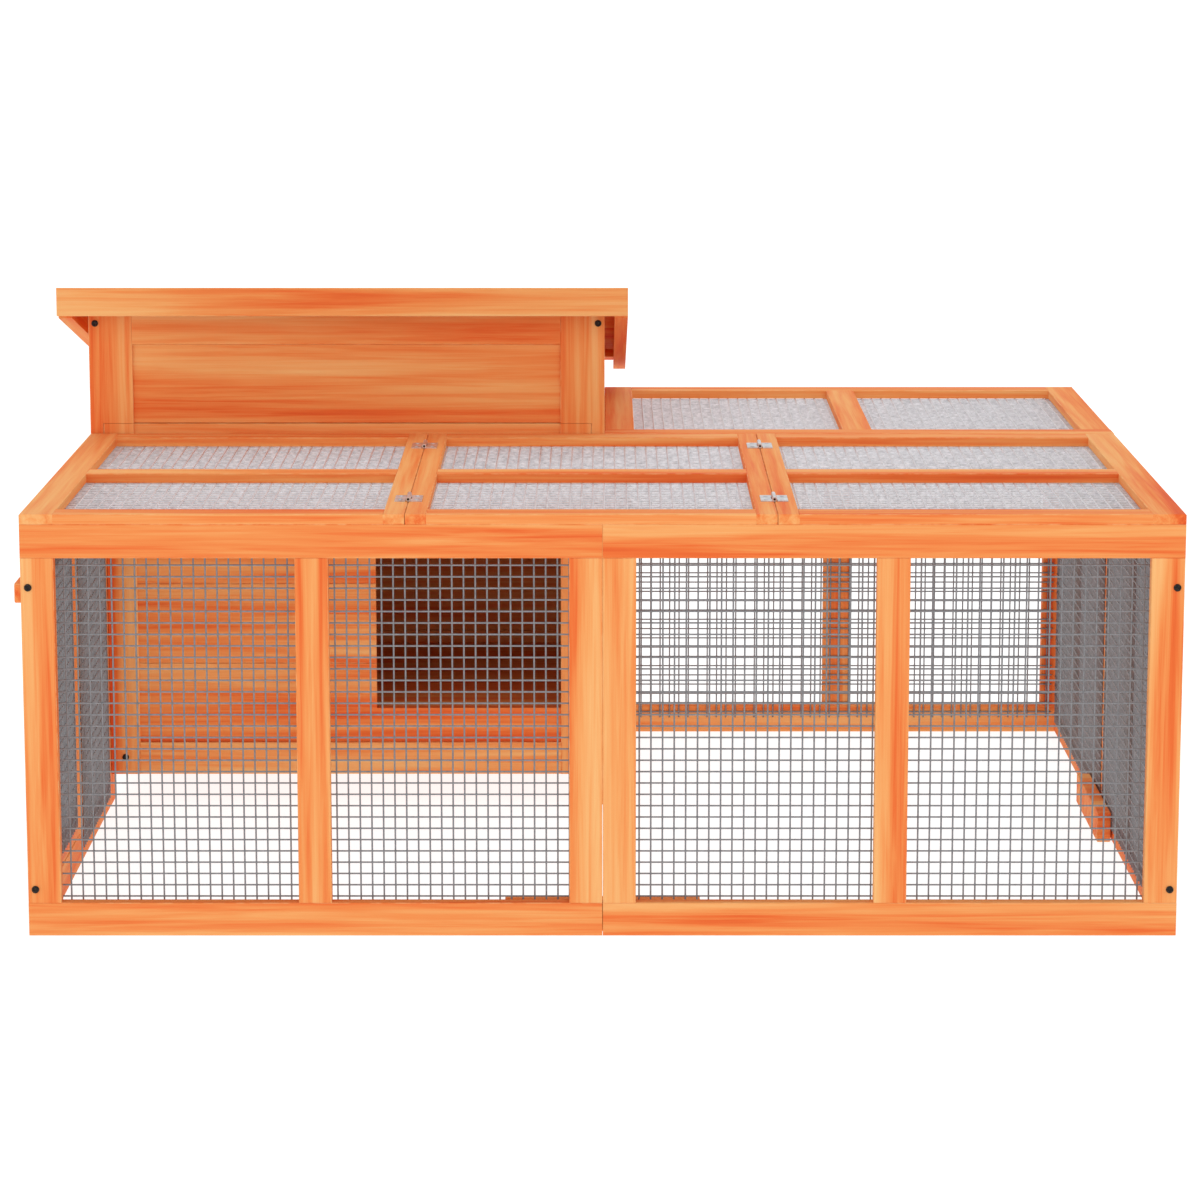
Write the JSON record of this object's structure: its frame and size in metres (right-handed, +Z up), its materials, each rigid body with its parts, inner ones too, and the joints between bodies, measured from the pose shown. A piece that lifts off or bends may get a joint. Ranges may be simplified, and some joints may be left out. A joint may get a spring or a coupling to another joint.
{
  "type": "rabbit hutch",
  "caption": "Low wooden rabbit hutch: a framed wire mesh run with hinged mesh lids and a side door, and a boarded house with a sloping roof that lifts, entered through a doorway.",
  "frame": {"origin": "on the ground, in the middle of the footprint's bounding box", "axes": "+X to the right seen from the front, +Y from the front of the run to the back, +Z up"},
  "size_m": [1.2856, 1.1256, 0.6518],
  "materials": {
    "stained_fir": "orange-brown transparent stain on planed fir, satin",
    "house_inside_wood": "the same stain, matt, inside the house",
    "galvanised_wire": "zinc-coated welded wire, dull grey",
    "zinc_plate": "bright zinc-plated sheet steel",
    "blackened_steel": "black oxide screws, satin"
  },
  "bodies": {
    "frame": {"front_left_rails": "stained_fir", "front_left_stiles": "stained_fir", "front_left_mesh": "galvanised_wire", "front_right_rails": "stained_fir", "front_right_stiles": "stained_fir", "front_right_mesh": "galvanised_wire", "right_side_rails": "stained_fir", "right_side_stiles": "stained_fir", "right_side_mesh": "galvanised_wire", "back_rail": "stained_fir", "back_stiles": "stained_fir", "back_mesh": "galvanised_wire", "left_side_rails": "stained_fir", "left_side_stiles": "stained_fir", "left_side_mesh": "galvanised_wire", "joining_battens": "stained_fir", "middle_lid_rails": "stained_fir", "middle_lid_stiles": "stained_fir", "middle_lid_mesh": "galvanised_wire", "rear_top_rails": "stained_fir", "rear_top_stiles": "stained_fir", "rear_top_mesh": "galvanised_wire", "house_front_rails": "stained_fir", "house_front_stiles": "stained_fir", "house_front_boards": "stained_fir", "doorway_boards": "stained_fir", "house_corner_stiles": "stained_fir", "house_left_boards": "stained_fir", "house_right_boards": "stained_fir", "house_back_boards": "stained_fir", "house_floor": "house_inside_wood", "floor_blocks": "house_inside_wood", "frame_bolts": "blackened_steel", "fixed_hinge_leaves": "zinc_plate", "hinge_pins": "zinc_plate", "fixed_hinge_screws": "zinc_plate", "turn_button_screw": "blackened_steel"},
    "left_lid": {"left_lid_rails": "stained_fir", "left_lid_stiles": "stained_fir", "left_lid_mesh": "galvanised_wire", "left_lid_hinge_leaves": "zinc_plate", "left_lid_hinge_screws": "zinc_plate"},
    "right_lid": {"right_lid_rails": "stained_fir", "right_lid_stiles": "stained_fir", "right_lid_mesh": "galvanised_wire", "right_lid_hinge_leaves": "zinc_plate", "right_lid_hinge_screws": "zinc_plate"},
    "side_door": {"side_door_rails": "stained_fir", "side_door_stiles": "stained_fir", "side_door_mesh": "galvanised_wire", "side_door_hinge_leaves": "zinc_plate", "side_door_hinge_screws": "zinc_plate"},
    "turn_button": {"turn_button": "stained_fir"},
    "roof": {"roof_fascia": "stained_fir", "roof_boards": "stained_fir", "roof_bargeboards": "stained_fir", "roof_battens": "stained_fir", "roof_hinge_leaves": "zinc_plate", "roof_hinge_screws": "zinc_plate"}
  },
  "joints": [
    {"name": "left_lid_hinge", "type": "hinge", "parent": "frame", "child": "left_lid", "pos_m": [-0.19775, -0.248, 0.4697], "axis": [0, 1, 0], "range_deg": [0, 20]},
    {"name": "right_lid_hinge", "type": "hinge", "parent": "frame", "child": "right_lid", "pos_m": [0.20375, -0.248, 0.4697], "axis": [0, 1, 0], "range_deg": [-130, 0]},
    {"name": "side_door_hinge", "type": "hinge", "parent": "frame", "child": "side_door", "pos_m": [-0.61495, -0.24575, 0.228], "axis": [0, 0, -1], "range_deg": [0, 178]},
    {"name": "turn_button_pivot", "type": "hinge", "parent": "frame", "child": "turn_button", "pos_m": [-0.61615, -0.527, 0.38], "axis": [-1, 0, 0], "range_deg": [0, 180]},
    {"name": "roof_hinge", "type": "hinge", "parent": "frame", "child": "roof", "pos_m": [-0.29825, 0.5167, 0.50452], "axis": [-1, 0, 0], "range_deg": [0, 65]}
  ]
}
